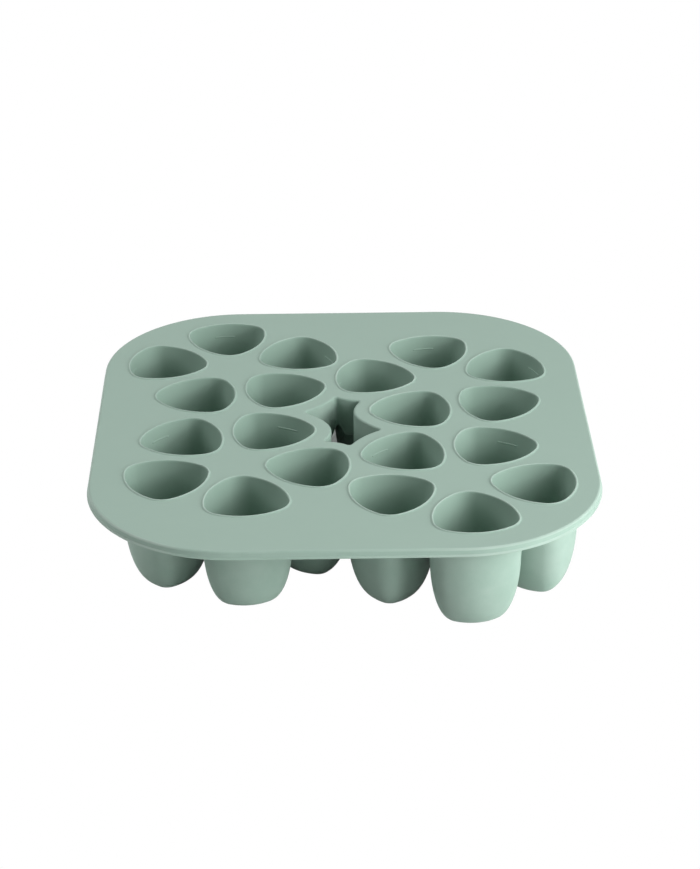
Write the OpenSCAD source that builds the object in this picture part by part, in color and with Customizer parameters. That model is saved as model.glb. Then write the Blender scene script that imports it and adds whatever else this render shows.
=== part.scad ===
// Freezer tray for baby food: a flat deck with twenty deep cups that hang below it in four
// five-petalled flowers, and a star-shaped finger opening in the middle.
// Frame: +Z up, +X to the right, +Y away from the front edge, origin at the middle of the base.
// Every cup outline is a triangle with bowed sides and round corners, drawn with six arcs, so an
// outline that is moved outwards keeps its centres and only changes its radii.

/* [Tray] */
// Width of the tray, left to right
tray_w = 210; // [206:1:240]
// Depth of the tray, front to back
tray_d = 227; // [223:1:260]
// Radius of the tray's four corners
tray_corner_r = 60; // [40:1:70]
// Height of the tray, from the cups' bases to the top of the deck
tray_h = 45.5; // [40:0.5:60]
// Thickness of the deck sheet
deck_t = 2.4; // [1.6:0.2:3.2]

/* [Edge rim] */
// Width of the thick band round the deck
rim_w = 5; // [3.5:0.5:7]
// Height of the band
rim_h = 4; // [3.4:0.2:7]
// Rounding of the band's upper edge
rim_top_r = 1.4; // [0.6:0.1:1.6]
// Rounding of the band's lower edge
rim_bottom_r = 0.6; // [0.3:0.1:1]

/* [Cups] */
// Radius of a cup's three corners
corner_r = 9; // [8:0.25:10]
// Distance from a cup's middle to the centres of its corners
corner_reach = 9.8; // [8.5:0.1:10.4]
// Radius of a cup's three bowed sides
side_r = 26; // [22:0.5:40]
// Thickness of a cup's wall
cup_wall = 1.8; // [1.2:0.1:2]
// Thickness of a cup's floor
cup_floor = 2; // [1.2:0.1:3]
// Slope of a cup's wall, in degrees from upright
cup_draft = 4; // [1:0.5:5]
// Height up to which a cup's wall curves in towards its base
base_round_h = 28; // [12:1:32]
// Radius of a cup's three corners at its base
base_corner_r = 3.5; // [1:0.5:5]

/* [Fill marks] */
// Depth of the fill mark's upper edge below the top of the deck
mark_depth = 6; // [4.5:0.5:10]
// Length of the fill mark
mark_len = 9.5; // [6:0.5:12]
// Height of the fill mark
mark_h = 0.8; // [0.5:0.1:1.2]
// How far the fill mark stands out of the wall
mark_out = 0.4; // [0.2:0.1:0.8]

/* [Flowers] */
// Distance from a flower's middle to the middle of each of its cups
petal_reach = 31.5; // [30.6:0.1:33]
// Middle of the far right flower, to the right
far_right_x = 45; // [43.5:0.5:47]
// Middle of the far right flower, to the back
far_right_y = 37.5; // [36:0.5:40]
// Turn of the far right flower, in degrees
far_right_turn = 26.5; // [23:0.5:29]
// Middle of the far left flower, to the right
far_left_x = -47; // [-49:0.5:-46]
// Middle of the far left flower, to the back
far_left_y = 53.5; // [52:0.5:56]
// Turn of the far left flower, in degrees
far_left_turn = 25; // [22:0.5:28]

/* [Centre opening] */
// Width of the web of deck between the opening and the cavities round it
web_w = 6.8; // [5:0.2:8]
// Thickness of the wall round the opening
well_wall = 2; // [1.2:0.1:2.4]
// Depth of that wall below the top of the deck
well_depth = 18; // [10:0.5:30]
// Height of the notches in that wall's lower edge, one at each crease
notch_h = 4; // [1:0.5:6]
// Width of those notches at the lower edge
notch_w = 5; // [2:0.5:8]

/* [Hidden] */
$fn = 96;
sage = [0.62, 0.70, 0.655];
sage_lit = [0.66, 0.745, 0.695];
sage_deep = [0.53, 0.61, 0.56];

FLOWERS = ["far_left", "far_right", "near_left", "near_right"];
PETALS = 5;

cup_top = tray_h - deck_t;

// The middle of a flower, and its turn. The near flowers are the far ones turned half round.
function flower_middle(flower) =
    flower == "far_left" ? [far_left_x, far_left_y] :
    flower == "far_right" ? [far_right_x, far_right_y] :
    flower == "near_left" ? [-far_right_x, -far_right_y] : [-far_left_x, -far_left_y];
function flower_turn(flower) =
    flower == "far_left" ? far_left_turn :
    flower == "far_right" ? far_right_turn :
    flower == "near_left" ? far_right_turn + 180 : far_left_turn + 180;

// The n-th cup of a flower: the way it points, and its middle.
function cup_turn(flower, n) = flower_turn(flower) + (n - 1) * 360 / PETALS;
function cup_middle(flower, n) =
    flower_middle(flower) + petal_reach * [cos(cup_turn(flower, n)), sin(cup_turn(flower, n))];

// A side's arc meets its corners' arcs smoothly when its centre lies this far behind the middle.
corner_path_r = side_r - corner_r;
side_back = sqrt(pow(corner_path_r, 2) - 0.75 * pow(corner_reach, 2)) - corner_reach / 2;
side_half_angle = atan2(corner_reach * sin(60), side_back + corner_reach / 2);

// How far a cup's outline, moved outwards by grow, lies from the cup's middle in a direction.
// The direction is counted from the middle of a side, which every third of a turn repeats.
function arc_distance(centre, angle, r) =
    centre * cos(angle) + sqrt(pow(r, 2) - pow(centre * sin(angle), 2));
function side_end(grow) = atan2((side_r + grow) * sin(side_half_angle),
                                (side_r + grow) * cos(side_half_angle) - side_back);
function outline_distance(direction, grow) =
    let (off = abs((direction + 60) % 120 - 60))
    off < side_end(grow) ? arc_distance(-side_back, off, side_r + grow)
                         : arc_distance(corner_reach, 60 - off, corner_r + grow);

// The wall of a cup leans in by the draft, and below that curves in to the flat base over a
// quarter of an ellipse. One entry is how far the outline is moved out, its height and how much
// it is shrunk before that. Shrinking it as it nears the base keeps the corners there round.
AROUND = 30;
OUTER_STEPS = 6;
INNER_STEPS = 5;
function wall_lean(z) = (cup_top - z) * tan(cup_draft);
function shrunk(a) = 1 - (1 - sin(a)) * base_corner_r / corner_reach;
function wall_levels(grow, low, steps) =
    let (wide = corner_r + grow - wall_lean(base_round_h))
    concat([for (i = [0 : steps]) let (a = 90 * i / steps)
                [wide * sin(a) - corner_r + (corner_reach + corner_r) * (1 - shrunk(a)),
                 base_round_h - (base_round_h - low) * cos(a), shrunk(a)]],
           [[grow, cup_top, 1]]);
function reversed(list) = [for (i = [len(list) - 1 : -1 : 0]) list[i]];

// A skin through rings of points that climb the outside of the wall and come down its inside.
module cup_shell() {
    levels = concat(wall_levels(cup_wall, 0, OUTER_STEPS),
                    reversed(wall_levels(0, cup_floor, INNER_STEPS)));
    points = [for (level = levels, i = [0 : AROUND - 1])
        let (a = 360 * i / AROUND, r = level[2] * outline_distance(a, level[0] / level[2]))
            [r * cos(a), r * sin(a), level[1]]];
    last = (len(levels) - 1) * AROUND;
    polyhedron(points, concat(
        [[for (i = [0 : AROUND - 1]) i]],
        [for (j = [0 : AROUND : last - 1], i = [0 : AROUND - 1]) let (k = (i + 1) % AROUND)
            each [[j + i, j + AROUND + i, j + k], [j + k, j + AROUND + i, j + AROUND + k]]],
        [[for (i = [AROUND - 1 : -1 : 0]) last + i]]));
}

// The section of the fill mark: a low ridge with a sloping underside, rooted in the wall.
mark_z = tray_h - mark_depth - mark_h;
module mark_section() {
    face = side_r - wall_lean(mark_z);
    root = face + cup_wall / 2;
    polygon([[face - mark_out, mark_z + mark_h / 3], [face - mark_out, mark_z + mark_h],
             [root, mark_z + mark_h], [root, mark_z], [face, mark_z]]);
}

// Things placed with a cup: turned the way it points, at its middle.
module at_cup(flower, n) {
    translate(cup_middle(flower, n)) rotate(cup_turn(flower, n)) children();
}

// A cup: its shell, and the fill mark on the side that faces out of the flower.
mark_half_angle = mark_len / 2 / side_r * 180 / PI;
module cup(flower, n) {
    color(flower == "far_left" || flower == "near_left" ? sage_deep : sage_lit)
    at_cup(flower, n) {
        cup_shell();
        translate([-side_back, 0]) rotate(-mark_half_angle)
            rotate_extrude(angle = 2 * mark_half_angle) mark_section();
    }
}

// A cup's outline, moved outwards by grow, with this many points.
module outline(grow, around) {
    polygon([for (i = [0 : around - 1]) let (a = 360 * i / around)
        outline_distance(a, grow) * [cos(a), sin(a)]]);
}

// The centre opening lies between these six cups, which are listed going round it. Its edge
// runs at one distance from all of their outlines, so that it is a star with curved flanks.
RING = [["far_left", 5], ["far_right", 3], ["far_right", 4],
        ["near_right", 5], ["near_left", 3], ["near_left", 4]];
module star(web) {
    difference() {
        polygon([for (c = RING) cup_middle(c[0], c[1])]);
        for (c = RING) at_cup(c[0], c[1]) outline(web, 2 * AROUND);
    }
}

// A rectangle with round corners, centred, whose edge lies inside the tray's edge.
module tray_outline(inside) {
    r = tray_corner_r - inside;
    square([tray_w - 2 * inside, tray_d - 2 * tray_corner_r], center = true);
    square([tray_w - 2 * tray_corner_r, tray_d - 2 * inside], center = true);
    for (x = [-1, 1], y = [-1, 1])
        translate([x * (tray_w / 2 - tray_corner_r), y * (tray_d / 2 - tray_corner_r)])
            circle(r = r);
}

// The deck: the flat sheet inside the edge rim, open over every cup and in the middle.
module deck() {
    color(sage) translate([0, 0, cup_top]) linear_extrude(deck_t) difference() {
        tray_outline(rim_w);
        for (flower = FLOWERS, n = [1 : PETALS]) at_cup(flower, n) outline(0, AROUND);
        star(web_w);
    }
}

// The section of the edge rim, from the deck's edge at x = 0 out to the tray's edge.
module rim_section() {
    low = tray_h - rim_h;
    difference() {
        translate([0, low]) square([rim_w, rim_h]);
        translate([rim_w - rim_top_r, tray_h - rim_top_r]) corner_waste(rim_top_r, 1);
        translate([rim_w - rim_bottom_r, low + rim_bottom_r]) corner_waste(rim_bottom_r, -1);
    }
}
// What is cut off a square corner to round it, up or down from the rounding's centre.
module corner_waste(r, up) {
    difference() {
        translate([0, up > 0 ? 0 : -r - 1]) square([r + 1, r + 1]);
        circle(r = r);
    }
}

// The edge rim: the thick band round the deck, with straight stretches and four corners.
module edge_rim() {
    straight_x = tray_w - 2 * tray_corner_r;
    straight_y = tray_d - 2 * tray_corner_r;
    color(sage_lit) for (half = [0, 180]) rotate(half) {
        translate([straight_x / 2, straight_y / 2]) rotate_extrude(angle = 90) rim_ring();
        translate([-straight_x / 2, straight_y / 2]) rotate(90)
            rotate_extrude(angle = 90) rim_ring();
        translate([straight_x / 2, straight_y / 2]) rotate([90, 0, 0])
            linear_extrude(straight_y) rim_ring();
        translate([straight_x / 2, straight_y / 2]) rotate([90, 0, -90])
            linear_extrude(straight_x) mirror([1, 0]) rim_ring();
    }
}
module rim_ring() {
    translate([tray_corner_r - rim_w, 0]) rim_section();
}

// The wall round the centre opening hangs from the deck, with a notch up at each crease.
module centre_well() {
    color(sage_deep) difference() {
        translate([0, 0, tray_h - well_depth]) linear_extrude(well_depth - deck_t) difference() {
            star(web_w - well_wall);
            star(web_w);
        }
        for (i = [0 : len(RING) - 1]) crease_notch(RING[i], RING[(i + 1) % len(RING)]);
    }
}
// A notch over the line that runs in between two neighbouring cups, square to the line that
// joins their middles.
module crease_notch(a, b) {
    one = cup_middle(a[0], a[1]);
    two = cup_middle(b[0], b[1]);
    across = two - one;
    translate(concat((one + two) / 2, tray_h - well_depth))
        rotate(atan2(across[1], across[0]) - 90) rotate([90, 0, 90])
            translate([0, 0, -side_r]) linear_extrude(2 * side_r)
                polygon([[-notch_w / 2, -1], [-notch_w / 2, 0], [0, notch_h],
                         [notch_w / 2, 0], [notch_w / 2, -1]]);
}

deck();
edge_rim();
centre_well();
for (flower = FLOWERS, n = [1 : PETALS])
    cup(flower, n);
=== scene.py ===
"""Freezer tray for baby food: a soft sage-green silicone tray with twenty deep cups that hang
below a flat deck in four five-petalled flowers, and a star-shaped finger opening in the middle."""

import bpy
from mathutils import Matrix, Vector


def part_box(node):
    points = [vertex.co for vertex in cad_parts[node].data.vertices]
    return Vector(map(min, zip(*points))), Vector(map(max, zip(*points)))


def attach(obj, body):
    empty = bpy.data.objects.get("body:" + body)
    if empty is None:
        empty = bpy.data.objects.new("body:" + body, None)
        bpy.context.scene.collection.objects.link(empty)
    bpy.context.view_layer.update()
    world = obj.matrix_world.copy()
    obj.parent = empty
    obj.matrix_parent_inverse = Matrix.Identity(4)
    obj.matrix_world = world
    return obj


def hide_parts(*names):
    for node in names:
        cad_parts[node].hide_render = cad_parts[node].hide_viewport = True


bl_info = {
    "name": "Baby Food Freezer Tray",
    "version": (1, 0, 0),
    "blender": (4, 5, 0),
    "location": "3D View > Sidebar > Freezer Tray",
    "description": "A silicone tray with twenty portion cups, on a white studio floor",
    "category": "Add Mesh",
}

import math

import bmesh
import bpy
from bpy.props import FloatProperty, FloatVectorProperty, PointerProperty
from mathutils import Matrix, Vector

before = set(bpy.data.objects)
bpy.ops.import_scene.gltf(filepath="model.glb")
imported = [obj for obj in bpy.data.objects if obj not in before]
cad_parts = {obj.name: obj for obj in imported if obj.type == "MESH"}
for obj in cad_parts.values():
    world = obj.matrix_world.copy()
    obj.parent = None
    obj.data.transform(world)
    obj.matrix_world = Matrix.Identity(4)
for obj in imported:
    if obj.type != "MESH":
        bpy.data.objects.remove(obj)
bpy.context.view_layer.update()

MM = 0.001
TURN = 2 * math.pi
DECK_LOW, DECK_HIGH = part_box("deck")
RIM_LOW, RIM_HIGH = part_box("edge_rim")
WELL_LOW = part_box("centre_well")[0]

FLOWERS = ("far_left", "far_right", "near_left", "near_right")
PETALS = 5
# The six cups that the centre opening lies between, going round it anticlockwise.
RING = (("far_left", 5), ("near_left", 4), ("near_left", 3),
        ("near_right", 5), ("far_right", 4), ("far_right", 3))


# ---------------------------------------------------------------------------------------------
# Sizes and colours that a user would change


class TraySizes(bpy.types.PropertyGroup):
    """The tray's sizes, where the frame doesn't already give them."""

    corner_radius: FloatProperty(
        name="Tray corner radius", description="Radius of the tray's four corners in plan",
        default=60 * MM, unit="LENGTH")
    lip_height: FloatProperty(
        name="Lip height", description="How far the lip round a cavity rises above the deck",
        default=0.5 * MM, unit="LENGTH")
    lip_width: FloatProperty(
        name="Lip width", description="Width of the lip round a cavity",
        default=1.3 * MM, unit="LENGTH")
    lip_lean: FloatProperty(
        name="Lip lean", description="How far the lip leans in over the mouth of a cavity",
        default=0.55 * MM, unit="LENGTH")
    cup_corner: FloatProperty(
        name="Cup corner radius", description="Radius of a cup's three corners",
        default=9 * MM, unit="LENGTH")
    cup_reach: FloatProperty(
        name="Cup corner reach", description="From a cup's middle to its corners' centres",
        default=9.8 * MM, unit="LENGTH")
    cup_side: FloatProperty(
        name="Cup side radius", description="Radius of a cup's three bowed sides",
        default=26 * MM, unit="LENGTH")
    cup_wall: FloatProperty(
        name="Cup wall", description="Thickness of a cup's wall",
        default=1.8 * MM, unit="LENGTH")
    cup_floor: FloatProperty(
        name="Cup floor", description="Thickness of a cup's floor",
        default=2 * MM, unit="LENGTH")
    cup_draft: FloatProperty(
        name="Cup draft", description="Slope of a cup's wall from upright",
        default=math.radians(4), subtype="ANGLE")
    base_round: FloatProperty(
        name="Base rounding", description="Height up to which a cup curves in to its base",
        default=28 * MM, unit="LENGTH")
    base_corner: FloatProperty(
        name="Base corner radius", description="Radius of a cup's three corners at its base",
        default=3.5 * MM, unit="LENGTH")
    mark_depth: FloatProperty(
        name="Fill mark depth", description="Depth of the fill mark below the tray's top",
        default=6 * MM, unit="LENGTH")
    mark_length: FloatProperty(
        name="Fill mark length", description="Length of the fill mark",
        default=9.5 * MM, unit="LENGTH")
    mark_height: FloatProperty(
        name="Fill mark height", description="Height of the fill mark",
        default=0.8 * MM, unit="LENGTH")
    mark_out: FloatProperty(
        name="Fill mark relief", description="How far the fill mark stands out of the wall",
        default=0.4 * MM, unit="LENGTH")
    petal_reach: FloatProperty(
        name="Petal reach", description="From a flower's middle to the middles of its cups",
        default=31.5 * MM, unit="LENGTH")
    far_right_middle: FloatVectorProperty(
        name="Far right flower", description="Middle of the far right flower",
        default=(45 * MM, 37.5 * MM), size=2, unit="LENGTH")
    far_right_turn: FloatProperty(
        name="Far right turn", description="Turn of the far right flower",
        default=math.radians(26.5), subtype="ANGLE")
    far_left_middle: FloatVectorProperty(
        name="Far left flower", description="Middle of the far left flower",
        default=(-47 * MM, 53.5 * MM), size=2, unit="LENGTH")
    far_left_turn: FloatProperty(
        name="Far left turn", description="Turn of the far left flower",
        default=math.radians(25), subtype="ANGLE")
    web: FloatProperty(
        name="Web", description="Width of the deck between the opening and the cavities",
        default=6.8 * MM, unit="LENGTH")
    tip_radius: FloatProperty(
        name="Star tip radius", description="Radius of the centre opening's six tips",
        default=1.2 * MM, unit="LENGTH")
    well_wall: FloatProperty(
        name="Well wall", description="Thickness of the wall round the centre opening",
        default=2 * MM, unit="LENGTH")
    notch_height: FloatProperty(
        name="Notch height", description="Height of the notches in that wall's lower edge",
        default=4 * MM, unit="LENGTH")
    notch_width: FloatProperty(
        name="Notch width", description="Width of those notches at the lower edge",
        default=5 * MM, unit="LENGTH")


class TrayFinish(bpy.types.PropertyGroup):
    """The look of the silicone."""

    colour: FloatVectorProperty(
        name="Silicone", description="Colour of the silicone",
        default=(0.285, 0.402, 0.340), subtype="COLOR", min=0, max=1)
    # Painted light: the cavities are painted a little lighter than the silicone, standing in for
    # light that comes through the cavities' walls.
    lightened_cavity_colour: FloatVectorProperty(
        name="Lightened cavity silicone", description="Colour of the thin walls, which let some light through",
        default=(0.298, 0.420, 0.354), subtype="COLOR", min=0, max=1)
    # Pale colour of the bloom and dust; on the lips and the rim's edges it is also mixed in as a
    # painted highlight.
    bloom_and_highlight: FloatVectorProperty(
        name="Bloom", description="Colour of the pale bloom and dust that silicone picks up",
        default=(0.45, 0.56, 0.50), subtype="COLOR", min=0, max=1)
    roughness: FloatProperty(
        name="Roughness", description="Roughness of the moulded surface",
        default=0.52, min=0, max=1)
    grain: FloatProperty(
        name="Grain size", description="Size of the fine grain that the mould leaves",
        default=0.45 * MM, unit="LENGTH")


class StudioLook(bpy.types.PropertyGroup):
    """The lamps, the floor and the camera."""

    key: FloatProperty(
        name="Key light", description="Power of the light from the front right",
        default=10, unit="POWER")
    low: FloatProperty(
        name="Low light", description="Power of the light low down at the front right",
        default=6.4, unit="POWER")
    left: FloatProperty(
        name="Left light", description="Power of the light from the left",
        default=7, unit="POWER")
    back: FloatProperty(
        name="Back light", description="Power of the light from above the back",
        default=40, unit="POWER")
    sky: FloatProperty(
        name="Sky", description="Strength of the even light from all round", default=0.0)
    shade: FloatProperty(
        name="Floor shade", description="How much of the shadow under the tray's back half stays",
        default=0.86, min=0, max=1)
    camera_place: FloatVectorProperty(
        name="Camera place", description="Where the camera stands",
        default=(-13.3 * MM, -962.3 * MM, 524.3 * MM), unit="LENGTH")
    camera_turn: FloatVectorProperty(
        name="Camera turn", description="The camera's rotation",
        default=[math.radians(a) for a in (63.2, 0.26, -1.11)], subtype="EULER")
    lens: FloatProperty(
        name="Lens", description="Focal length for a sensor 36 mm high", default=104.4)


# ---------------------------------------------------------------------------------------------
# Tracks: the closed lines in plan that every rim, lip and wall follows. A track is a list of
# places, each with the way that it faces, so a ring can be moved out of its track evenly.

CORNER_STEPS = 12        # round a cup's corner
BESIDE_MARK_STEPS = 6    # along a cup's side, on each side of where the fill mark lies
MARK_STEPS = 8           # along the fill mark
TRAY_CORNER_STEPS = 32   # round the tray's corner
FLANK_STEPS = 20         # along one flank of the star
TIP_STEPS = 8            # round one tip of the star
STAR_ROUNDS = 60         # rounds that bring a corner of the star to its place


def toward(angle):
    """The unit vector in plan that points this way."""
    return Vector((math.cos(angle), math.sin(angle)))


def spaced(start, end, steps):
    """Evenly spaced values from start up to, but not at, end."""
    return [start + (end - start) * i / steps for i in range(steps)]


def arc(centre, radius, angles):
    """Part of a track along a circle."""
    return [(centre + radius * toward(a), toward(a)) for a in angles]


def side_shape(sizes):
    """How far behind a cup's middle its sides' arcs are centred, and half the angle of one."""
    path = sizes.cup_side - sizes.cup_corner
    reach = sizes.cup_reach
    back = math.sqrt(path ** 2 - 0.75 * reach ** 2) - reach / 2
    return back, math.atan2(reach * math.sin(TURN / 6), back + reach / 2)


def cup_track(sizes, middle=Vector((0, 0)), turn=0.0):
    """The mouth of a cup: a triangle with bowed sides and round corners, from the middle of
    its outward side, where the fill mark has steps of its own."""
    back, half = side_shape(sizes)
    mark = sizes.mark_length / 2 / sizes.cup_side
    track = []
    for side in range(3):
        way = turn + side * TURN / 3
        angles = (spaced(-half, -mark, BESIDE_MARK_STEPS) + spaced(-mark, mark, MARK_STEPS)
                  + spaced(mark, half, BESIDE_MARK_STEPS))
        track += arc(middle - back * toward(way), sizes.cup_side, [way + a for a in angles])
        way += TURN / 6
        corner = TURN / 6 - half
        track += arc(middle + sizes.cup_reach * toward(way), sizes.cup_corner,
                     spaced(way - corner, way + corner, CORNER_STEPS))
    return track


def tray_track(sizes):
    """The tray's outer edge: a rectangle with round corners."""
    radius = sizes.corner_radius
    track = []
    for corner, (x, y) in enumerate(((1, 1), (-1, 1), (-1, -1), (1, -1))):
        centre = Vector((x * (RIM_HIGH.x - radius), y * (RIM_HIGH.y - radius)))
        start = corner * TURN / 4
        angles = spaced(start, start + TURN / 4, TRAY_CORNER_STEPS) + [start + TURN / 4]
        track += arc(centre, radius, angles)
    return track


def flower(sizes, name):
    """The middle and the turn of a flower. The near ones are the far ones turned half round."""
    side = "right" if name in ("far_right", "near_left") else "left"
    middle = Vector(getattr(sizes, f"far_{side}_middle"))
    turn = getattr(sizes, f"far_{side}_turn")
    if name.startswith("near"):
        return -middle, turn + TURN / 2
    return middle, turn


def cup_place(sizes, name, number):
    """The middle of a flower's numbered cup, and the way its outward side faces."""
    middle, turn = flower(sizes, name)
    turn += (number - 1) * TURN / PETALS
    return middle + sizes.petal_reach * toward(turn), turn


def outline_gap(sizes, point, middle, turn):
    """How far a point lies outside a cup's mouth, and the way from the mouth to the point."""
    back, half = side_shape(sizes)
    nearest = None
    for side in range(3):
        way = turn + side * TURN / 3
        away = point + back * toward(way) - middle
        angle = math.atan2(away.y, away.x) - way
        angle = (angle + TURN / 2) % TURN - TURN / 2
        if abs(angle) <= half:
            nearest = (away.length - sizes.cup_side, away.normalized())
    if nearest:
        return nearest
    corners = [point - middle - sizes.cup_reach * toward(turn + (side + 0.5) * TURN / 3)
               for side in range(3)]
    away = min(corners, key=lambda corner: corner.length)
    return away.length - sizes.cup_corner, away.normalized()


def star_corner(sizes, one, two, gap):
    """The point between two neighbouring cups, on the opening's side, that lies this far from
    both mouths."""
    between = two[0] - one[0]
    inward = Vector((0, 0)) - (one[0] + two[0]) / 2
    across = Vector((-between.y, between.x)).normalized()
    if across.dot(inward) < 0:
        across.negate()
    point = (one[0] + two[0]) / 2 + across * gap
    for _ in range(STAR_ROUNDS):
        gap_one, way_one = outline_gap(sizes, point, *one)
        gap_two, way_two = outline_gap(sizes, point, *two)
        point = point + 0.5 * ((gap - gap_one) * way_one + (gap - gap_two) * way_two)
    return point


def star_track(sizes):
    """The centre opening: six flanks that run at one distance from the cups round it, and six
    tips, at the distance where the tips shrink to points. It faces the cups."""
    gap = sizes.web + sizes.tip_radius
    cups = [cup_place(sizes, *key) for key in RING]
    corners = [star_corner(sizes, cups[i], cups[(i + 1) % 6], gap) for i in range(6)]
    track = []
    for i, cup in enumerate(cups):
        start, end = corners[i - 1], corners[i]
        ways = [math.atan2(*reversed(outline_gap(sizes, point, *cup)[1]))
                for point in (start, end)]
        track += flank(sizes, cup, gap, *ways)
        track += tip(sizes, end, cup, cups[(i + 1) % 6])
    return track


def flank(sizes, cup, gap, first, last):
    """The stretch of a star's track that follows one cup, between two ways from its mouth."""
    back, half = side_shape(sizes)
    middle, turn = cup
    last = first + (last - first + TURN / 2) % TURN - TURN / 2
    track = []
    for way in spaced(first, last, FLANK_STEPS):
        side = round((way - turn) / (TURN / 3))
        off = way - turn - side * TURN / 3
        if abs(off) <= half:
            centre, radius = -back * toward(turn + side * TURN / 3), sizes.cup_side
        else:
            corner = turn + (side + math.copysign(0.5, off)) * TURN / 3
            centre, radius = sizes.cup_reach * toward(corner), sizes.cup_corner
        track.append((middle + centre + (radius + gap) * toward(way), -toward(way)))
    return track


def tip(sizes, corner, one, two):
    """The fan of ways at a star's tip, from facing one cup to facing the next."""
    first, last = [math.atan2(*reversed(-outline_gap(sizes, corner, *cup)[1]))
                   for cup in (one, two)]
    last = first + (last - first + TURN / 2) % TURN - TURN / 2
    return [(corner.copy(), toward(way)) for way in spaced(first, last, TIP_STEPS)]


# ---------------------------------------------------------------------------------------------
# Modelling: a ring of edges is placed on a track and extruded from level to level

SAME_HEIGHT = 0.001 * MM  # what lies closer than this in height is at one level
DOUBLES = 0.002 * MM      # vertices closer than this are merged


def start_piece(name):
    """An empty mesh object of this name, at the origin and in edit mode."""
    bpy.ops.object.select_all(action="DESELECT")
    bpy.ops.mesh.primitive_circle_add(vertices=3, radius=MM, location=(0, 0, 0))
    piece = bpy.context.object
    piece.name = piece.data.name = name
    bpy.ops.object.mode_set(mode="EDIT")
    bpy.ops.mesh.select_all(action="SELECT")
    bpy.ops.mesh.delete(type="VERT")
    bmesh.from_edit_mesh(piece.data).verts.layers.int.new("around")
    return piece


def add_ring(piece, track, out, height, rise=None, shrink=1):
    """Adds a circle of edges to the piece and shapes it to the track."""
    bpy.ops.mesh.select_all(action="DESELECT")
    bpy.ops.mesh.primitive_circle_add(vertices=len(track), radius=MM, location=(0, 0, height))
    mesh = bmesh.from_edit_mesh(piece.data)
    around = mesh.verts.layers.int["around"]
    fresh = [vert for vert in mesh.verts if vert.select]
    fresh.sort(key=lambda vert: math.atan2(-vert.co.y, -vert.co.x))
    for number, vert in enumerate(fresh):
        vert[around] = number
    place_ring(piece, track, out, height, rise, shrink)


def place_ring(piece, track, out, height, rise=None, shrink=1):
    """Moves the selected ring this far out of its track, which may be shrunk first, at this
    height. Where rise is given, it says how much higher each place lies."""
    mesh = bmesh.from_edit_mesh(piece.data)
    around = mesh.verts.layers.int["around"]
    for vert in mesh.verts:
        if vert.select:
            place, way = track[vert[around]]
            plan = shrink * place + out * way
            vert.co = (plan.x, plan.y, height + (rise(plan) if rise else 0))
    bmesh.update_edit_mesh(piece.data)


def sweep(piece, track, section):
    """Extrudes a ring along a section, whose levels say how far out and how high it lies."""
    add_ring(piece, track, *section[0])
    for before, level in zip(section, section[1:]):
        step = (0, 0, level[1] - before[1])
        bpy.ops.mesh.extrude_edges_move(TRANSFORM_OT_translate={"value": step})
        place_ring(piece, track, *level)


def select_ring(piece, height, reach):
    """Selects what lies at this height, no further than reach from the origin."""
    bpy.ops.mesh.select_all(action="DESELECT")
    bpy.ops.mesh.select_mode(type="VERT")
    mesh = bmesh.from_edit_mesh(piece.data)
    for vert in mesh.verts:
        vert.select_set(abs(vert.co.z - height) < SAME_HEIGHT and vert.co.xy.length < reach)
    mesh.select_flush(True)
    bmesh.update_edit_mesh(piece.data)


def finish_piece(piece, smooth_up_to):
    """Merges doubles, turns the faces outwards and smooths all but the sharp edges."""
    bpy.ops.mesh.select_all(action="SELECT")
    bpy.ops.mesh.remove_doubles(threshold=DOUBLES)
    bpy.ops.mesh.normals_make_consistent(inside=False)
    bpy.ops.mesh.select_all(action="DESELECT")
    bpy.ops.object.mode_set(mode="OBJECT")
    piece.data.attributes.remove(piece.data.attributes["around"])
    bpy.ops.object.select_all(action="DESELECT")
    piece.select_set(True)
    bpy.context.view_layer.objects.active = piece
    bpy.ops.object.shade_smooth_by_angle(angle=smooth_up_to)


def seat(piece, *nodes):
    """Gives the piece its body and the nodes that it stands for."""
    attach(piece, "root")
    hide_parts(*nodes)


def quarter(steps):
    """The sines and cosines of a quarter turn's steps, both ends included."""
    return [(math.sin(TURN / 4 * i / steps), math.cos(TURN / 4 * i / steps))
            for i in range(steps + 1)]


# ---------------------------------------------------------------------------------------------
# Sections


FLANGE = 2.1 * MM         # how far a cup's share of the deck reaches out of its mouth
EDGE_ROUND = 0.5 * MM     # rounding of a cavity's inner edge, across
EDGE_DROP = 0.75 * MM     # and down
UNDER_FILLET = 0.3 * MM   # fillet between a cup's wall and the deck's underside
LIP_STEPS = 5             # up a lip's outer slope
BASE_STEPS = 14           # up a cup's wall as far as it curves
EDGE_STEPS = 6            # round the edge of a cavity or of the opening
OUTSIDE_LEVELS = (34 * MM, 39 * MM)  # two more levels up a cup's outside
ABOVE_DECK = 0.1 * MM     # the flat left between a foot and the next rounding
WELL_EDGE = 0.9 * MM      # rounding of the centre opening's edge
WELL_FILLET = 0.6 * MM    # fillet between the well and the deck's underside
WELL_LEVEL = 36 * MM      # one more level on the well's wall
RIM_FACE = -0.5 * MM      # how far the rim's face lies out of the tray's edge
RIM_EDGE = 1.0 * MM       # rounding of the rim's upper edge
LEDGE = 0.7 * MM          # height of the ledge where the mould parts


def deck_top(sizes):
    """The height of the deck's face, which the lips stand above."""
    return DECK_HIGH.z - sizes.lip_height


def lip_levels(sizes):
    """The levels over a lip, from its outer foot up to its crest and into the cavity."""
    top, lean = deck_top(sizes), sizes.lip_lean
    slope = sizes.lip_width - EDGE_ROUND
    rising = []
    for i in range(LIP_STEPS + 1):
        along = i / LIP_STEPS
        rising.append((sizes.lip_width - lean - slope * along,
                       top + sizes.lip_height * (1 - math.cos(math.pi * along)) / 2))
    falling = [(EDGE_ROUND * (1 - s) - lean, top + sizes.lip_height - EDGE_DROP * (1 - c))
               for s, c in quarter(EDGE_STEPS)[1:]]
    return rising + falling


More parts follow.
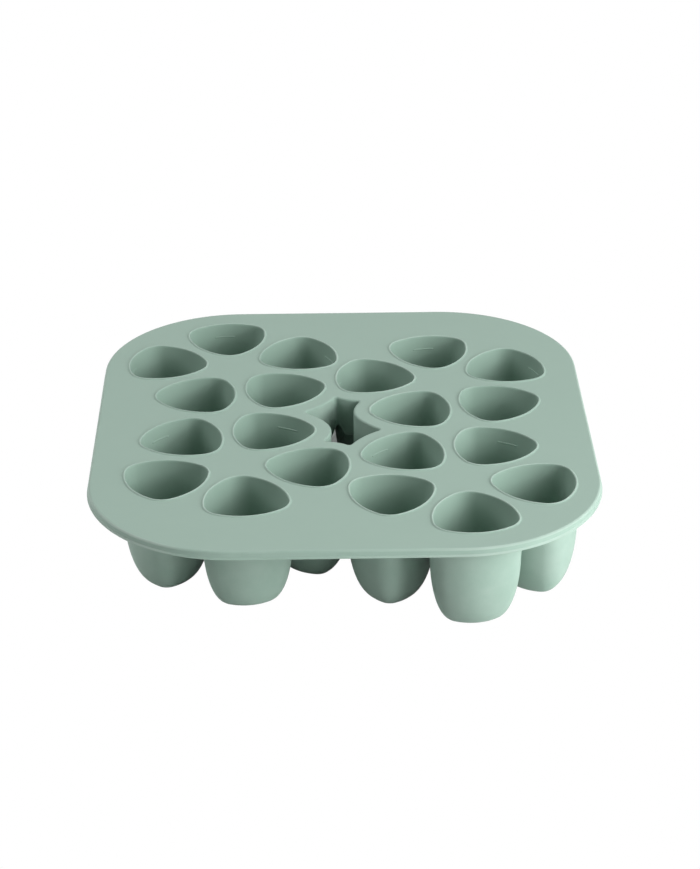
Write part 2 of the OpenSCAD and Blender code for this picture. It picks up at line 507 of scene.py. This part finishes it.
def wall_levels(sizes, out, low, steps, heights=()):
    """The levels up a cup's wall: a quarter of an ellipse, then the draft up to the deck. The
    outline is shrunk as it nears the base, which keeps its corners round there."""
    slope = math.tan(sizes.cup_draft)
    bend = sizes.base_round
    wide = sizes.cup_corner + out - (DECK_LOW.z - bend) * slope
    levels = []
    for s, c in quarter(steps):
        lost = (1 - s) * sizes.base_corner / sizes.cup_reach
        moved = wide * s - sizes.cup_corner + (sizes.cup_reach + sizes.cup_corner) * lost
        levels.append((moved, bend - (bend - low) * c, None, 1 - lost))
    return levels + [(out - (DECK_LOW.z - z) * slope, z) for z in heights]


def cup_levels(sizes):
    """The whole section of a cup, from its base up the outside and down the inside."""
    top, under = deck_top(sizes), DECK_LOW.z
    mark_top = DECK_HIGH.z - sizes.mark_depth
    mark_low = mark_top - sizes.mark_height
    outside = wall_levels(sizes, sizes.cup_wall, 0, BASE_STEPS, OUTSIDE_LEVELS)
    foot = FLANGE - UNDER_FILLET
    fillet = [(foot + UNDER_FILLET * (1 - c), under - UNDER_FILLET * (1 - s))
              for s, c in quarter(3)]
    seam = [(FLANGE, top), (sizes.lip_width - sizes.lip_lean + ABOVE_DECK, top)]
    inside = wall_levels(sizes, -sizes.lip_lean, sizes.cup_floor, BASE_STEPS,
                         (mark_low - 4 * MM, mark_low, mark_top, under))
    return outside + fillet + seam + lip_levels(sizes) + inside[::-1]


def notch_rise(sizes):
    """How much higher the well's lower edge lies at a place, because of its six notches."""
    cups = [cup_place(sizes, *key)[0] for key in RING]
    creases = [((cups[i - 1] + cups[i]) / 2, (cups[i] - cups[i - 1]).normalized())
               for i in range(6)]

    def rise(plan):
        middle, across = min(creases, key=lambda crease: (plan - crease[0]).length)
        off = abs((plan - middle).dot(across)) / (sizes.notch_width / 2)
        return sizes.notch_height * (1 + math.cos(math.pi * min(off, 1))) / 2

    return rise


def well_levels(sizes):
    """The section of the well: the deck round the opening, its rounded edge, the wall's inner
    face, the rounded lower edge and the outer face."""
    top, under, low = deck_top(sizes), DECK_LOW.z, WELL_LOW.z
    rise = notch_rise(sizes)
    inner = sizes.tip_radius
    outer = inner + sizes.well_wall
    seam = outer + WELL_FILLET
    nose = sizes.well_wall / 2
    levels = [(seam, top), (inner + WELL_EDGE + ABOVE_DECK, top)]
    levels += [(inner + WELL_EDGE * (1 - s), top - WELL_EDGE * (1 - c))
               for s, c in quarter(EDGE_STEPS)]
    levels += [(inner, WELL_LEVEL), (inner, low + nose, rise)]
    levels += [(inner + nose * (1 - c), low + nose * (1 - s), rise) for s, c in quarter(4)[1:]]
    levels += [(outer - nose * (1 - s), low + nose * (1 - c), rise) for s, c in quarter(4)[1:]]
    levels += [(outer, WELL_LEVEL)]
    levels += [(outer + WELL_FILLET * (1 - c), under - WELL_FILLET * (1 - s))
               for s, c in quarter(4)]
    return levels + [(seam, top)]


def rim_levels(sizes):
    """The section of the edge rim: its flat top, rounded upper edge, outer face, the small
    ledge where the mould parts, and its underside."""
    top, low, under = deck_top(sizes), RIM_LOW.z, DECK_LOW.z
    width = RIM_HIGH.x - DECK_HIGH.x
    face, ledge = RIM_FACE, low + LEDGE
    levels = [(-width, top), (face - RIM_EDGE - 0.2 * MM, top)]
    levels += [(face - RIM_EDGE * (1 - s), top - RIM_EDGE * (1 - c)) for s, c in quarter(8)]
    levels += [(face, ledge + 0.3 * MM), (face + 0.06 * MM, ledge + 0.12 * MM)]
    levels += [(-0.08 * MM, ledge - 0.2 * MM), (0, low + 0.35 * MM), (0, low + 0.15 * MM)]
    levels += [(-0.15 * MM, low), (0.4 * MM - width, low), (0.1 * MM - width, low + 0.1 * MM)]
    return levels + [(-width, low + 0.4 * MM), (-width, under), (-width, top)]


# ---------------------------------------------------------------------------------------------
# Finishes

# The lip finish is the silicone mixed far towards the pale colour: a painted highlight on the
# lips, the rim's rounded edge and its ledge.
FINISHES = ("Deck silicone", "Cavity silicone", "Underside silicone", "Lip silicone")
DECK, CAVITY, UNDERSIDE, HIGHLIGHTED = range(4)

DUST_SIZE = 5 * MM       # distance between specks of dust
DUST_AMOUNT = 0.02       # size of a speck, as a share of that distance
GRAIN_STRENGTH = 0.35    # how strongly the grain breaks up the gloss
SMOOTHER, ROUGHER = 0.04, 0.05  # how far the roughness drifts down and up
SILICONE_IOR = 1.41
GLOSS = 0.45


def node_group(name, inputs, outputs):
    """A new shader node group, with its input and output nodes."""
    group = bpy.data.node_groups.new(name, "ShaderNodeTree")
    for socket, kind, default in inputs:
        made = group.interface.new_socket(name=socket, in_out="INPUT", socket_type=kind)
        if default is not None:
            made.default_value = default
    for socket, kind in outputs:
        group.interface.new_socket(name=socket, in_out="OUTPUT", socket_type=kind)
    return group, group.nodes.new("NodeGroupInput"), group.nodes.new("NodeGroupOutput")


def add_node(tree, kind, settings=None, **links):
    """A node with its settings and with what feeds its inputs: sockets, or plain values. An
    input is named with underscores, or by its number after an n."""
    node = tree.nodes.new(kind)
    for setting, value in (settings or {}).items():
        setattr(node, setting, value)
    for key, value in links.items():
        socket = node.inputs[int(key[1:]) if key[1:].isdigit() else key.replace("_", " ")]
        if isinstance(value, bpy.types.NodeSocket):
            tree.links.new(value, socket)
        else:
            socket.default_value = value
    return node


def mottling_group():
    """Slow cloudy changes over a moulded surface: a mask from 0 to 1."""
    group, given, out = node_group(
        "Cloudy mottling",
        [("Vector", "NodeSocketVector", None), ("Size", "NodeSocketFloat", 20 * MM)],
        [("Mask", "NodeSocketFloat")])
    scale = add_node(group, "ShaderNodeMath", {"operation": "DIVIDE"},
                     n0=1.0, n1=given.outputs["Size"])
    clouds = add_node(group, "ShaderNodeTexNoise", None, Vector=given.outputs["Vector"],
                      Scale=scale.outputs[0], Detail=4.0, Roughness=0.55)
    spread = add_node(group, "ShaderNodeMapRange", {"interpolation_type": "SMOOTHSTEP"},
                      Value=clouds.outputs["Fac"], From_Min=0.3, From_Max=0.7)
    group.links.new(spread.outputs[0], out.inputs["Mask"])
    return group


def grain_group():
    """The fine grain that a blasted mould leaves: a height from 0 to 1."""
    group, given, out = node_group(
        "Mould grain",
        [("Vector", "NodeSocketVector", None), ("Size", "NodeSocketFloat", 0.4 * MM)],
        [("Height", "NodeSocketFloat")])
    scale = add_node(group, "ShaderNodeMath", {"operation": "DIVIDE"},
                     n0=1.0, n1=given.outputs["Size"])
    fine = add_node(group, "ShaderNodeTexNoise", None, Vector=given.outputs["Vector"],
                    Scale=scale.outputs[0], Detail=2.0, Roughness=0.6)
    pits = add_node(group, "ShaderNodeTexVoronoi", None, Vector=given.outputs["Vector"],
                    Scale=scale.outputs[0])
    both = add_node(group, "ShaderNodeMath", {"operation": "MULTIPLY_ADD"},
                    n0=pits.outputs["Distance"], n1=0.35, n2=fine.outputs["Fac"])
    group.links.new(both.outputs[0], out.inputs["Height"])
    return group


def dust_group():
    """Scattered specks of dust that cling to silicone: a mask, 1 on a speck."""
    group, given, out = node_group(
        "Clinging dust",
        [("Vector", "NodeSocketVector", None), ("Size", "NodeSocketFloat", 3 * MM),
         ("Amount", "NodeSocketFloat", 0.05)],
        [("Mask", "NodeSocketFloat")])
    scale = add_node(group, "ShaderNodeMath", {"operation": "DIVIDE"},
                     n0=1.0, n1=given.outputs["Size"])
    specks = add_node(group, "ShaderNodeTexVoronoi", None, Vector=given.outputs["Vector"],
                      Scale=scale.outputs[0], Randomness=1.0)
    edge = add_node(group, "ShaderNodeMath", {"operation": "ADD"},
                    n0=given.outputs["Amount"], n1=0.03)
    near = add_node(group, "ShaderNodeMapRange", {"interpolation_type": "SMOOTHSTEP"},
                    Value=specks.outputs["Distance"], From_Min=given.outputs["Amount"],
                    From_Max=edge.outputs[0], To_Min=1.0, To_Max=0.0)
    group.links.new(near.outputs[0], out.inputs["Mask"])
    return group


def silicone(name, finish, groups, colour, bloom_and_highlight, cloud_size, grain_depth, rougher=0.0):
    """Satin silicone: its colour drifts a little, a pale bloom and specks of dust lie on it,
    and the mould's grain breaks up its soft gloss. Where that pale share is large, as on the
    lips, it is a painted highlight."""
    material = bpy.data.materials.new(name)
    material.use_nodes = True
    tree = material.node_tree
    shader = tree.nodes["Principled BSDF"]
    place = add_node(tree, "ShaderNodeTexCoord").outputs["Object"]
    clouds = add_node(tree, "ShaderNodeGroup", {"node_tree": groups["mottling"]},
                      Vector=place, Size=cloud_size).outputs["Mask"]
    grain = add_node(tree, "ShaderNodeGroup", {"node_tree": groups["grain"]},
                     Vector=place, Size=finish.grain).outputs["Height"]
    specks = add_node(tree, "ShaderNodeGroup", {"node_tree": groups["dust"]},
                      Vector=place, Size=DUST_SIZE, Amount=DUST_AMOUNT).outputs["Mask"]
    cloudy = add_node(tree, "ShaderNodeMath", {"operation": "MULTIPLY"}, n0=clouds, n1=bloom_and_highlight)
    # The pale share: dust, cloudy bloom, and on the lips a painted highlight.
    dust_bloom_and_highlight = add_node(tree, "ShaderNodeMath", {"operation": "MULTIPLY_ADD", "use_clamp": True},
                     n0=specks, n1=bloom_and_highlight, n2=cloudy.outputs[0])
    tint = add_node(tree, "ShaderNodeMix", {"data_type": "RGBA"}, Factor=dust_bloom_and_highlight.outputs[0],
                    n6=(*colour, 1), n7=(*finish.bloom_and_highlight, 1))
    rough = add_node(tree, "ShaderNodeMapRange", None, Value=clouds,
                     To_Min=finish.roughness + rougher - SMOOTHER,
                     To_Max=finish.roughness + rougher + ROUGHER)
    bump = add_node(tree, "ShaderNodeBump", None, Height=grain, Strength=GRAIN_STRENGTH,
                    Distance=grain_depth)
    tree.links.new(tint.outputs[2], shader.inputs["Base Color"])
    tree.links.new(rough.outputs[0], shader.inputs["Roughness"])
    tree.links.new(bump.outputs["Normal"], shader.inputs["Normal"])
    shader.inputs["IOR"].default_value = SILICONE_IOR
    shader.inputs["Specular IOR Level"].default_value = GLOSS
    return material


def make_finishes(finish):
    """The tray's finishes: the deck's face, the cavities, painted a little lighter, the underside,
    and the lips, paler with a painted highlight.
    """
    groups = {"mottling": mottling_group(), "grain": grain_group(), "dust": dust_group()}
    plain, lightened = finish.colour, finish.lightened_cavity_colour
    silicone(FINISHES[DECK], finish, groups, plain, bloom_and_highlight=0.10, cloud_size=26 * MM,
             grain_depth=0.05 * MM)
    # The cavities take the lighter colour, which is painted light.
    silicone(FINISHES[CAVITY], finish, groups, lightened, bloom_and_highlight=0.05, cloud_size=14 * MM,
             grain_depth=0.03 * MM, rougher=-0.03)
    silicone(FINISHES[UNDERSIDE], finish, groups, plain, bloom_and_highlight=0.32, cloud_size=18 * MM,
             grain_depth=0.06 * MM, rougher=0.05)
    # Painted highlight: a large share of the pale colour on the lips and the rim's edges.
    silicone(FINISHES[HIGHLIGHTED], finish, groups, plain, bloom_and_highlight=0.55, cloud_size=60 * MM,
             grain_depth=0.02 * MM, rougher=-0.08)


def paint(piece, choose):
    """Gives each face of the piece the finish whose number choose returns for it."""
    for name in FINISHES:
        piece.data.materials.append(bpy.data.materials[name])
    for face in piece.data.polygons:
        face.material_index = choose(face)


def deck_or_under(face):
    """The deck's finish on what faces up or out above the deck's underside."""
    return DECK if face.center.z > DECK_LOW.z and face.normal.z > -0.3 else UNDERSIDE


def rim_finish(face):
    """The finish of a rim's face: paler on the rounded edge and on the ledge, a painted highlight.
    """
    height = face.center.z
    if height < RIM_LOW.z + 0.1 * MM:
        return UNDERSIDE
    sloping = 0.15 < face.normal.z < 0.97
    # The rounded edge and the ledge get the painted highlight.
    return HIGHLIGHTED if sloping or height < RIM_LOW.z + 0.5 * MM else DECK


# ---------------------------------------------------------------------------------------------
# The pieces


class FREEZERTRAY_OT_deck(bpy.types.Operator):
    """Model the flat deck sheet, open round every cup and round the centre opening"""

    bl_idname = "freezer_tray.deck"
    bl_label = "Deck sheet"

    def execute(self, context):
        sizes = context.scene.tray_sizes
        top = deck_top(sizes)
        piece = start_piece("deck_sheet")
        add_ring(piece, tray_track(sizes), DECK_HIGH.x - RIM_HIGH.x, top)
        for name in FLOWERS:
            for number in range(1, PETALS + 1):
                add_ring(piece, cup_track(sizes, *cup_place(sizes, name, number)), FLANGE, top)
        add_ring(piece, star_track(sizes), *well_levels(sizes)[0])
        bpy.ops.mesh.select_all(action="SELECT")
        bpy.ops.mesh.fill(use_beauty=True)
        bpy.ops.mesh.select_all(action="SELECT")
        down = (0, 0, DECK_LOW.z - top)
        bpy.ops.mesh.extrude_region_move(TRANSFORM_OT_translate={"value": down})
        finish_piece(piece, math.radians(30))
        paint(piece, lambda face: DECK if face.normal.z > 0.5 else UNDERSIDE)
        seat(piece, "deck")
        return {"FINISHED"}


class FREEZERTRAY_OT_edge_rim(bpy.types.Operator):
    """Model the thick rounded band round the deck, with the ledge where the mould parts"""

    bl_idname = "freezer_tray.edge_rim"
    bl_label = "Edge rim"

    def execute(self, context):
        sizes = context.scene.tray_sizes
        piece = start_piece("edge_band")
        sweep(piece, tray_track(sizes), rim_levels(sizes))
        finish_piece(piece, math.radians(35))
        paint(piece, rim_finish)
        seat(piece, "edge_rim")
        return {"FINISHED"}


class FREEZERTRAY_OT_centre_well(bpy.types.Operator):
    """Model the wall that hangs round the star-shaped centre opening, with its notches"""

    bl_idname = "freezer_tray.centre_well"
    bl_label = "Centre well"

    def execute(self, context):
        sizes = context.scene.tray_sizes
        piece = start_piece("star_well")
        sweep(piece, star_track(sizes), well_levels(sizes))
        finish_piece(piece, math.radians(40))
        paint(piece, deck_or_under)
        seat(piece, "centre_well")
        return {"FINISHED"}


class FREEZERTRAY_OT_cups(bpy.types.Operator):
    """Model one cup with its lip and fill mark, and copy it to the twenty places"""

    bl_idname = "freezer_tray.cups"
    bl_label = "Twenty cups"

    def execute(self, context):
        sizes = context.scene.tray_sizes
        first = model_cup(sizes)
        for name in FLOWERS:
            for number in range(1, PETALS + 1):
                bpy.ops.object.select_all(action="DESELECT")
                first.select_set(True)
                context.view_layer.objects.active = first
                bpy.ops.object.duplicate(linked=False)
                cup = context.object
                cup.name = cup.data.name = f"cup_shell_{name}_{number}"
                middle, turn = cup_place(sizes, name, number)
                cup.location = (*middle, 0)
                cup.rotation_euler.z = turn
                bpy.ops.object.transform_apply(location=True, rotation=True, scale=True)
                seat(cup, f"cup_{name}_{number}")
        bpy.data.objects.remove(first)
        return {"FINISHED"}


def model_cup(sizes):
    """One cup at the origin, with its outward side facing +X."""
    piece = start_piece("cup_pattern")
    levels = cup_levels(sizes)
    sweep(piece, cup_track(sizes), levels)
    for height in (levels[0][1], levels[-1][1]):
        select_ring(piece, height, sizes.cup_side)
        bpy.ops.mesh.remove_doubles(threshold=DOUBLES)
        bpy.ops.mesh.edge_face_add()
    raise_mark(piece, sizes)
    finish_piece(piece, math.radians(35))
    inside = sizes.cup_floor - 0.01 * MM
    rims = DECK_LOW.z + 0.1 * MM
    paint(piece, lambda face: cup_finish(face, inside, rims, sizes))
    return piece


def cup_finish(face, inside, rims, sizes):
    """The finish of a cup's face: the lip with its painted highlight, the flange, the cavity, or
    the outside.
    """
    plan = face.center.xy
    # The lip is painted paler: a painted highlight.
    if face.center.z > deck_top(sizes) + sizes.lip_height / 2:
        return HIGHLIGHTED
    if face.center.z > rims and face.normal.z > 0.3:
        return DECK
    inward = plan.length > MM and face.normal.xy.dot(plan) < 0
    in_cavity = face.center.z > inside and (inward or plan.length <= MM)
    return CAVITY if in_cavity else UNDERSIDE


# The two slopes up to the fill mark's crest: how wide, and what share of its relief
MARK_SLOPES = ((0.2 * MM, 0.4), (0.12 * MM, 0.15))


def raise_mark(piece, sizes):
    """Raises the fill mark, a short ridge on the cavity's outward side."""
    top = DECK_HIGH.z - sizes.mark_depth
    low = top - sizes.mark_height
    half = sizes.mark_length / 2
    bpy.ops.mesh.select_mode(type="FACE")
    bpy.ops.mesh.select_all(action="SELECT")
    bpy.ops.mesh.normals_make_consistent(inside=False)
    bpy.ops.mesh.select_all(action="DESELECT")
    mesh = bmesh.from_edit_mesh(piece.data)
    for face in mesh.faces:
        middle = face.calc_center_median()
        face.select_set(low < middle.z < top and middle.x > 0 and abs(middle.y) < half
                        and face.normal.x < 0)
    bmesh.update_edit_mesh(piece.data)
    for width, share in MARK_SLOPES:
        bpy.ops.mesh.inset(thickness=width, depth=share * sizes.mark_out)
    bpy.ops.mesh.select_mode(type="VERT")


# ---------------------------------------------------------------------------------------------
# The studio

FLOOR_SIZE = 12
FLOOR_GAP = 0.05 * MM      # from the floor up to the cups' bases
FLOOR_COLOUR = (0.85, 0.85, 0.85, 1)
SHADOW_START = -20 * MM    # where the shadow that the floor keeps starts to show, in depth
SHADOW_FADE = 60 * MM      # over which it fades in and out, in depth
SHADOW_SIDE = 30 * MM      # and within the tray's sides
SENSOR_HEIGHT = 36         # in millimetres, as the lens is


class FREEZERTRAY_OT_studio(bpy.types.Operator):
    """Set the white floor, the soft lights, the white sky and the camera"""

    bl_idname = "freezer_tray.studio"
    bl_label = "Studio"

    def execute(self, context):
        look = context.scene.studio_look
        bpy.ops.object.select_all(action="DESELECT")
        bpy.ops.mesh.primitive_plane_add(size=FLOOR_SIZE, location=(0, 0, 0))
        floor = context.object
        floor.name = "studio_floor"
        floor.data.transform(Matrix.Translation((0, 0, -FLOOR_GAP)))
        floor.data.materials.append(floor_paint(look))
        soft_light("key_light", look.key, size=0.8, around=-38, up=30, away=1.4)
        soft_light("low_light", look.low, size=0.5, around=-30, up=12, away=0.8,
                   gloss=False)
        soft_light("left_light", look.left, size=0.8, around=180, up=35, away=1.4)
        soft_light("back_light", look.back, size=1.7, around=85, up=60, away=3)
        white_sky(context.scene, look)
        bpy.ops.object.camera_add(location=look.camera_place, rotation=look.camera_turn)
        camera = context.object
        camera.name = "studio_camera"
        camera.data.sensor_fit = "VERTICAL"
        camera.data.sensor_height = SENSOR_HEIGHT
        camera.data.lens = look.lens
        context.scene.camera = camera
        context.scene.view_settings.view_transform = "Standard"
        return {"FINISHED"}


def soft_light(name, power, size, around, up, away, gloss=True):
    """A square soft light that faces the tray: this many degrees round from the right, this many
    degrees up, and this many metres away. Without gloss it casts no glare."""
    ground = away * math.cos(math.radians(up)) * toward(math.radians(around))
    place = (*ground, away * math.sin(math.radians(up)))
    bpy.ops.object.light_add(type="AREA", location=place)
    light = bpy.context.object
    light.name = name
    light.data.energy = power
    light.data.size = size
    light.rotation_euler = (-Vector(place)).to_track_quat("-Z", "Y").to_euler()
    light.visible_glossy = gloss


def seen_directly(tree):
    """1 for what the camera sees, also by way of a mirror or through glass, and 0 for light."""
    path = add_node(tree, "ShaderNodeLightPath")
    either = add_node(tree, "ShaderNodeMath", {"operation": "MAXIMUM"},
                      n0=path.outputs["Is Camera Ray"], n1=path.outputs["Is Glossy Ray"])
    seen = add_node(tree, "ShaderNodeMath", {"operation": "MAXIMUM"},
                    n0=either.outputs[0], n1=path.outputs["Is Transmission Ray"])
    return seen.outputs[0]


def under_tray(tree, look):
    """How far a place on the floor lies in the shadow that it keeps: under the tray's back half,
    and for reflections under all of it."""
    place = add_node(tree, "ShaderNodeTexCoord").outputs["Object"]
    split = add_node(tree, "ShaderNodeSeparateXYZ", None, Vector=place)
    path = add_node(tree, "ShaderNodeLightPath")
    front = add_node(tree, "ShaderNodeMapRange", None, Value=path.outputs["Is Camera Ray"],
                     To_Min=-RIM_HIGH.y, To_Max=SHADOW_START)
    deeper = add_node(tree, "ShaderNodeMath", {"operation": "ADD"},
                      n0=front.outputs[0], n1=SHADOW_FADE)
    behind = add_node(tree, "ShaderNodeMapRange", {"interpolation_type": "SMOOTHSTEP"},
                      Value=split.outputs["Y"], From_Min=front.outputs[0],
                      From_Max=deeper.outputs[0])
    before = add_node(tree, "ShaderNodeMapRange", {"interpolation_type": "SMOOTHSTEP"},
                      Value=split.outputs["Y"], From_Min=RIM_HIGH.y,
                      From_Max=RIM_HIGH.y + SHADOW_FADE, To_Min=1.0, To_Max=0.0)
    aside = add_node(tree, "ShaderNodeMath", {"operation": "ABSOLUTE"}, n0=split.outputs["X"])
    between = add_node(tree, "ShaderNodeMapRange", {"interpolation_type": "SMOOTHSTEP"},
                       Value=aside.outputs[0], From_Min=RIM_HIGH.x - SHADOW_SIDE,
                       From_Max=RIM_HIGH.x, To_Min=look.shade, To_Max=0.0)
    along = add_node(tree, "ShaderNodeMath", {"operation": "MULTIPLY"},
                     n0=behind.outputs[0], n1=before.outputs[0])
    return add_node(tree, "ShaderNodeMath", {"operation": "MULTIPLY"},
                    n0=along.outputs[0], n1=between.outputs[0]).outputs[0]


def floor_paint(look):
    """Pale floor that is white to the camera, but for the shadow that it keeps, and that can be
    looked through from beneath."""
    material = bpy.data.materials.new("White floor")
    material.use_nodes = True
    tree = material.node_tree
    shader = tree.nodes["Principled BSDF"]
    shader.inputs["Base Color"].default_value = FLOOR_COLOUR
    shader.inputs["Roughness"].default_value = 0.9
    shader.inputs["Specular IOR Level"].default_value = 0.1
    white = add_node(tree, "ShaderNodeEmission", None, Color=(1, 1, 1, 1), Strength=1.0)
    clear = add_node(tree, "ShaderNodeMath", {"operation": "SUBTRACT"},
                     n0=1.0, n1=under_tray(tree, look))
    share = add_node(tree, "ShaderNodeMath", {"operation": "MULTIPLY"},
                     n0=seen_directly(tree), n1=clear.outputs[0])
    mixed = add_node(tree, "ShaderNodeMixShader", None, n0=share.outputs[0],
                     n1=shader.outputs[0], n2=white.outputs[0])
    beneath = add_node(tree, "ShaderNodeNewGeometry").outputs["Backfacing"]
    nothing = add_node(tree, "ShaderNodeBsdfTransparent")
    surface = add_node(tree, "ShaderNodeMixShader", None, n0=beneath,
                       n1=mixed.outputs[0], n2=nothing.outputs[0])
    tree.links.new(surface.outputs[0], tree.nodes["Material Output"].inputs["Surface"])
    return material


def white_sky(scene, look):
    """Even light from all round, which is white where the camera sees it."""
    world = bpy.data.worlds.new("White sky")
    scene.world = world
    world.use_nodes = True
    tree = world.node_tree
    background = tree.nodes["Background"]
    background.inputs["Color"].default_value = (1, 1, 1, 1)
    strength = add_node(tree, "ShaderNodeMapRange", None, Value=seen_directly(tree),
                        To_Min=look.sky, To_Max=1.0)
    tree.links.new(strength.outputs[0], background.inputs["Strength"])


# ---------------------------------------------------------------------------------------------
# The add-on


class FREEZERTRAY_PT_panel(bpy.types.Panel):
    """The tray's steps, sizes and colours in the sidebar."""

    bl_idname = "FREEZERTRAY_PT_panel"
    bl_label = "Freezer Tray"
    bl_space_type = "VIEW_3D"
    bl_region_type = "UI"
    bl_category = "Freezer Tray"

    def draw(self, context):
        for operator in OPERATORS:
            self.layout.operator(operator.bl_idname)
        for group in (context.scene.tray_sizes, context.scene.tray_finish,
                      context.scene.studio_look):
            box = self.layout.box()
            for name in group.bl_rna.properties.keys():
                if name not in ("rna_type", "name"):
                    box.prop(group, name)


OPERATORS = (FREEZERTRAY_OT_deck, FREEZERTRAY_OT_edge_rim, FREEZERTRAY_OT_centre_well,
             FREEZERTRAY_OT_cups, FREEZERTRAY_OT_studio)
CLASSES = (TraySizes, TrayFinish, StudioLook, *OPERATORS, FREEZERTRAY_PT_panel)


def register():
    for cls in CLASSES:
        bpy.utils.register_class(cls)
    bpy.types.Scene.tray_sizes = PointerProperty(type=TraySizes)
    bpy.types.Scene.tray_finish = PointerProperty(type=TrayFinish)
    bpy.types.Scene.studio_look = PointerProperty(type=StudioLook)


def unregister():
    del bpy.types.Scene.studio_look
    del bpy.types.Scene.tray_finish
    del bpy.types.Scene.tray_sizes
    for cls in reversed(CLASSES):
        bpy.utils.unregister_class(cls)


def main():
    """Builds the tray and the studio."""
    register()
    make_finishes(bpy.context.scene.tray_finish)
    bpy.ops.freezer_tray.deck()
    bpy.ops.freezer_tray.edge_rim()
    bpy.ops.freezer_tray.centre_well()
    bpy.ops.freezer_tray.cups()
    bpy.ops.freezer_tray.studio()


if __name__ == "__main__":
    main()
